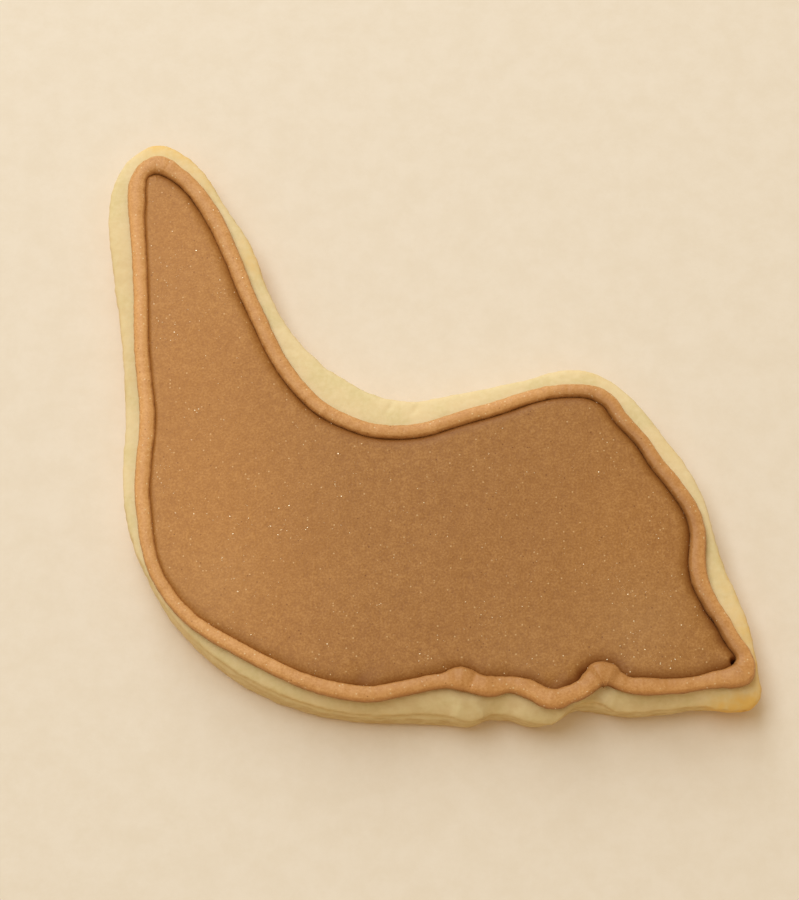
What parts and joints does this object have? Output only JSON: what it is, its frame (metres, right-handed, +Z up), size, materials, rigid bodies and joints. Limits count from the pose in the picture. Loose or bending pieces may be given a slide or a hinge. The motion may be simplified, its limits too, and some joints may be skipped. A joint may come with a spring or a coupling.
{
  "type": "iced sugar cookie",
  "caption": "Flat sugar cookie in a free-form outline with a tall tapering neck, flooded with brown icing inside a piped bead.",
  "frame": {"origin": "on the floor, under the middle of the cookie's bounding box", "axes": "+Z up out of the iced face, +X along the longest side from the neck to the pointed corner, +Y towards the tip of the neck"},
  "size_m": [0.1005, 0.0956, 0.0096],
  "materials": {
    "baked_dough": "dry matte crumb, paler on top and browned at the edges",
    "piped_icing": "satin royal icing with fine lustre specks",
    "flood_icing": "satin royal icing with fine lustre specks"
  },
  "bodies": {
    "root": {"biscuit": "baked_dough", "flood_icing": "flood_icing", "piped_outline": "piped_icing"}
  },
  "joints": []
}
